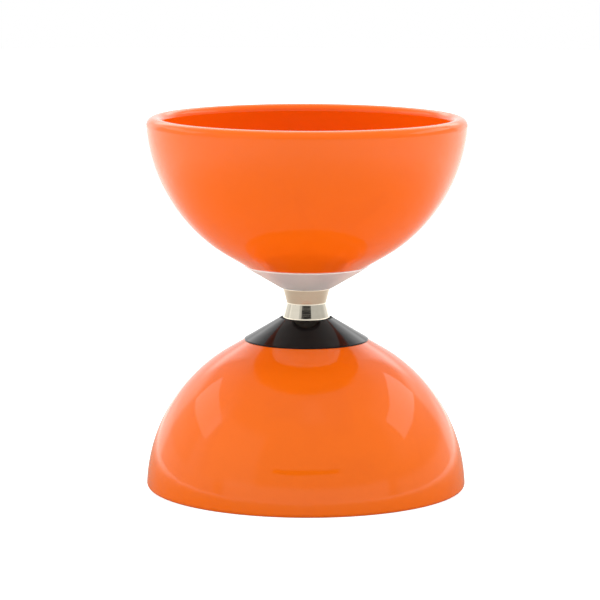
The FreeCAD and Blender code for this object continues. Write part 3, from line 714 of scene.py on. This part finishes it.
def makeNylon(s):
    material, tree, shader = newMaterial("naturalNylon", {"IOR": 1.53})
    patches = place(tree, smudges, Scale=300.0, Threshold=0.4, Softness=0.3, Stretch=0.4)["Mask"]
    dots = place(tree, specks, Scale=1500.0, Size=0.2, Amount=0.1)["Mask"]
    ripple = place(tree, mouldSkin, **{"Ripple": 900.0, "Grain": 7000.0, "Grain Share": 0.3})["Height"]
    colour = blendColour(tree, calc(tree, "MAXIMUM", patches, dots), s["colour"], s["darker"])
    rough = remap(tree, patches, 0.0, 1.0, s["smoothest"], s["roughest"])
    finishLook(tree, shader, colour, rough, ripple, s["relief"])
    return material


looks = {"orange_plastic": makeOrange(orangeLook), "black_plastic": makeBlack(blackLook),
         "nylon": makeNylon(nylonLook)}
for slotName, name in (("turned_aluminium", "turnedAluminium"), ("plated_steel", "nickelPlate"),
                       ("zinc_steel", "zincSteel"), ("bearing_steel", "groundSteel")):
    looks[slotName] = makeMetal(name, metalLooks[name])

carriedOver = {
    "zinc_steel": ("clamp_washer", "lock_nut", "shim", "shield"),
    "bearing_steel": ("outer_ring", "inner_ring", "balls"),
    "nylon": ("nylon_ring", "cage"),
}


def paint(piece, material):
    piece.data.materials.clear()
    piece.data.materials.append(material)


for piece in cups + [metalCone, mouldedCone, hubSpool, threadedAxle]:
    paint(piece, looks[piece["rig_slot"]])
for name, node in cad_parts.items():
    for slotName, endings in carriedOver.items():
        if name.endswith(endings):
            paint(node, looks[slotName])
print("materials made")


# studio

studio = {
    "floorRadius": 2.5,
    "middleRing": 0.3,
    "floorSegments": 128,
    "underRim": 1.2,  # how far the floor reaches in under the lower rim, in millimetres
    "nearFloor": 0.12,  # the floor looks darker this close, where the toy shades it
    "farFloor": 0.45,
    "sideGlow": 0.45,  # light the floor gives back beyond that, behind and to both sides, and all round
    "evenGlow": 0.03,
    "cameraGlow": 0.7,
    "floorDull": (0.80, 0.80, 0.80, 1),
    "floorPale": (0.83, 0.83, 0.83, 1),
    "nearTone": (0.44, 0.38, 0.33, 1),  # the floor as polished faces see it
    "farTone": (0.78, 0.75, 0.72, 1),
    "cameraPlace": (0.0, -1.201, 0.2535),
    "cameraAim": (-0.0025, 0.0, 0.0733),
    "lens": 186.7,
    "roll": 0.16,  # degrees
}

# light that reaches matt faces, stronger from overhead and from the sides
sky = {"level": 0.25, "overhead": 2.05, "sides": 1.16, "left": 0.12}

# what polished faces see round the room: azimuth 0 is the camera's side, positive to its right
roomLevel = 0.56
roomPatches = [
    {"azimuth": 0, "half": 60, "low": -4, "high": 8, "softness": 4, "level": 0.45},
    {"azimuth": 180, "half": 40, "low": -6, "high": 22, "softness": 8, "level": 0.60},
    {"azimuth": 180, "half": 24, "low": 22, "high": 66, "softness": 8, "level": 1.10},
    {"azimuth": -112, "half": 40, "low": -6, "high": 6, "softness": 5, "level": 0.30},
    {"azimuth": 112, "half": 40, "low": -6, "high": 6, "softness": 5, "level": 0.30},
    {"azimuth": 0, "half": 25, "low": 20.0, "high": 22.4, "softness": 0.8, "level": -0.54},
    {"azimuth": 10, "half": 12, "low": 60, "high": 70, "softness": 6, "level": 0.2},
    {"azimuth": -68, "half": 26, "low": 12, "high": 40, "softness": 8, "level": 0.30},
    {"azimuth": -120, "half": 25, "low": 15, "high": 45, "softness": 12, "level": 0.22},
    {"azimuth": 118, "half": 36, "low": 24, "high": 46, "softness": 12, "level": 0.22},
]

softboxDistance = 1.3
softboxes = [
    {"name": "leftSoftbox", "azimuth": -110, "elevation": 31, "width": 0.90, "height": 0.34, "level": 0.9},
    {"name": "rightSoftbox", "azimuth": 111, "elevation": 33, "width": 1.0, "height": 0.36, "level": 1.25},
]


def towards(azimuth, elevation):
    a, e = math.radians(azimuth), math.radians(elevation)
    return Vector((math.sin(a) * math.cos(e), -math.cos(a) * math.cos(e), math.sin(e)))


def makePatch():
    group, given, out = newGroup("roomPatch", {"Azimuth": 0.0, "Elevation": 0.0, "Centre": 0.0,
                                               "Half": 30.0, "Low": 0.0, "High": 30.0, "Softness": 5.0},
                                 ["Mask"])
    offset = calc(group, "SUBTRACT", given["Azimuth"], given["Centre"])
    wrapped = add(group, "ShaderNodeMath", {0: offset, 1: 180.0, 2: -180.0}, operation="WRAP").outputs[0]
    away = calc(group, "ABSOLUTE", wrapped)
    edge = calc(group, "ADD", given["Half"], given["Softness"])
    wide = remap(group, away, given["Half"], edge, 1.0, 0.0, smooth=True)
    edge = calc(group, "SUBTRACT", given["Low"], given["Softness"])
    under = remap(group, given["Elevation"], edge, given["Low"], smooth=True)
    edge = calc(group, "ADD", given["High"], given["Softness"])
    over = remap(group, given["Elevation"], given["High"], edge, 1.0, 0.0, smooth=True)
    group.links.new(calc(group, "MULTIPLY", calc(group, "MULTIPLY", wide, under), over), out.inputs["Mask"])
    return group


def makeRoom():
    world = bpy.data.worlds.new("studioRoom")
    scene.world = world
    world.use_nodes = True
    tree = world.node_tree
    tree.nodes.clear()
    parts = add(tree, "ShaderNodeSeparateXYZ", {0: tree.nodes.new("ShaderNodeTexCoord").outputs["Generated"]})
    x, y, z = parts.outputs[0], parts.outputs[1], parts.outputs[2]
    degrees = 180 / math.pi
    azimuth = calc(tree, "MULTIPLY", calc(tree, "ARCTAN2", x, calc(tree, "MULTIPLY", y, -1.0)), degrees)
    elevation = calc(tree, "MULTIPLY", calc(tree, "ARCSINE", z), degrees)
    patch = makePatch()
    level = None
    for p in roomPatches:
        node = add(tree, "ShaderNodeGroup", node_tree=patch)
        tree.links.new(azimuth, node.inputs["Azimuth"])
        tree.links.new(elevation, node.inputs["Elevation"])
        for key in ("half", "low", "high", "softness"):
            node.inputs[key.capitalize()].default_value = p[key]
        node.inputs["Centre"].default_value = p["azimuth"]
        share = calc(tree, "MULTIPLY", node.outputs["Mask"], p["level"])
        level = calc(tree, "ADD", share, roomLevel if level is None else level)
    overhead = remap(tree, z, 0.6, 0.95, 0.0, sky["overhead"], smooth=True)
    fromSides = calc(tree, "MULTIPLY", calc(tree, "MULTIPLY", x, x), sky["sides"])
    fromLeft = calc(tree, "MULTIPLY", calc(tree, "MAXIMUM", calc(tree, "MULTIPLY", x, -1.0), 0.0), sky["left"])
    matt = calc(tree, "ADD", calc(tree, "ADD", overhead, fromSides), calc(tree, "ADD", fromLeft, sky["level"]))
    path = tree.nodes.new("ShaderNodeLightPath").outputs
    light = add(tree, "ShaderNodeMix", {0: path["Is Diffuse Ray"], 2: level, 3: matt}).outputs[0]
    light = add(tree, "ShaderNodeMix", {0: path["Is Camera Ray"], 2: light, 3: 1.0}).outputs[0]
    back = add(tree, "ShaderNodeBackground", {"Color": (1, 1, 1, 1), "Strength": light})
    output = tree.nodes.new("ShaderNodeOutputWorld")
    tree.links.new(back.outputs[0], output.inputs["Surface"])
    world.cycles.sampling_method = "NONE"


def makeSoftbox(s):
    data = bpy.data.lights.new(s["name"], "AREA")
    data.shape = "RECTANGLE"
    data.size, data.size_y = s["width"], s["height"]
    data.energy = s["level"] * math.pi * s["width"] * s["height"]
    lamp = bpy.data.objects.new(s["name"], data)
    direction = towards(s["azimuth"], s["elevation"])
    lamp.location = Vector((0, 0, hubMiddle)) + direction * softboxDistance
    lamp.rotation_euler = direction.to_track_quat("Z", "Y").to_euler()
    lamp.visible_camera = False
    scene.collection.objects.link(lamp)


def makeFloor(s):
    # open under the lower cup, so that light reaches the inside of the cup in views from below
    mesh = bmesh.new()
    opening = (cadBounds[1].x - cadBounds[0].x) / 2 - s["underRim"] * mm
    rings = []
    count = s["floorSegments"]
    turns = [2 * math.pi * i / count for i in range(count)]
    for radius in (opening, s["middleRing"], s["floorRadius"]):
        rings.append([mesh.verts.new((radius * math.cos(a), radius * math.sin(a), cadBounds[0].z))
                      for a in turns])
    for inner, outer in zip(rings, rings[1:]):
        for i in range(count):
            j = (i + 1) % count
            mesh.faces.new([inner[i], outer[i], outer[j], inner[j]])
    bmesh.ops.recalc_face_normals(mesh, faces=mesh.faces)
    if mesh.faces[:][0].normal.z < 0:
        bmesh.ops.reverse_faces(mesh, faces=mesh.faces)
    data = bpy.data.meshes.new("studioFloor")
    mesh.to_mesh(data)
    mesh.free()
    floor = bpy.data.objects.new("studioFloor", data)
    scene.collection.objects.link(floor)
    material = bpy.data.materials.new("paleFloor")
    material.use_nodes = True
    tree = material.node_tree
    tree.nodes.clear()
    grain = add(tree, "ShaderNodeTexNoise", {"Vector": objectPoint(tree), "Scale": 30.0, "Detail": 3.0})
    tone = blendColour(tree, grain.outputs["Fac"], s["floorDull"], s["floorPale"])
    path = tree.nodes.new("ShaderNodeLightPath").outputs
    point = objectPoint(tree)
    away = add(tree, "ShaderNodeVectorMath", {0: point}, operation="LENGTH").outputs["Value"]
    spread = remap(tree, away, s["nearFloor"], s["farFloor"], smooth=True)
    mirrored = blendColour(tree, spread, s["nearTone"], s["farTone"])
    tone = blendColour(tree, path["Is Glossy Ray"], tone, mirrored)
    matt = add(tree, "ShaderNodeBsdfDiffuse", {"Color": tone})
    forward = calc(tree, "DIVIDE", add(tree, "ShaderNodeSeparateXYZ", {0: point}).outputs[1], away)
    front = calc(tree, "MAXIMUM", calc(tree, "MULTIPLY", forward, -1.0), 0.0)
    notFront = calc(tree, "SUBTRACT", 1.0, calc(tree, "MULTIPLY", front, front))
    share = calc(tree, "ADD", calc(tree, "MULTIPLY", notFront, s["sideGlow"]), s["evenGlow"])
    glowing = calc(tree, "MULTIPLY", spread, share)
    seen = add(tree, "ShaderNodeMix", {0: path["Is Camera Ray"], 2: glowing, 3: s["cameraGlow"]}).outputs[0]
    glow = add(tree, "ShaderNodeEmission", {"Color": (1, 1, 1, 1), "Strength": seen})
    lit = add(tree, "ShaderNodeAddShader", {0: matt.outputs[0], 1: glow.outputs[0]})
    clear = tree.nodes.new("ShaderNodeBsdfTransparent")
    under = tree.nodes.new("ShaderNodeNewGeometry").outputs["Backfacing"]
    both = add(tree, "ShaderNodeMixShader", {0: under, 1: lit.outputs[0], 2: clear.outputs[0]})
    output = tree.nodes.new("ShaderNodeOutputMaterial")
    tree.links.new(both.outputs[0], output.inputs["Surface"])
    data.materials.append(material)


def makeCamera(s):
    data = bpy.data.cameras.new("studioCamera")
    data.lens, data.sensor_width = s["lens"], 36.0
    data.clip_start, data.clip_end = 0.05, 20.0
    camera = bpy.data.objects.new("studioCamera", data)
    scene.collection.objects.link(camera)
    back = Vector(s["cameraPlace"]) - Vector(s["cameraAim"])
    turn = back.to_track_quat("Z", "Y").to_matrix() @ Matrix.Rotation(math.radians(s["roll"]), 3, "Z")
    camera.matrix_world = Matrix.Translation(s["cameraPlace"]) @ turn.to_4x4()
    scene.camera = camera


makeRoom()
for box in softboxes:
    makeSoftbox(box)
makeFloor(studio)
makeCamera(studio)
scene.view_settings.view_transform = "Standard"
print("studio made")

bpy.context.view_layer.update()
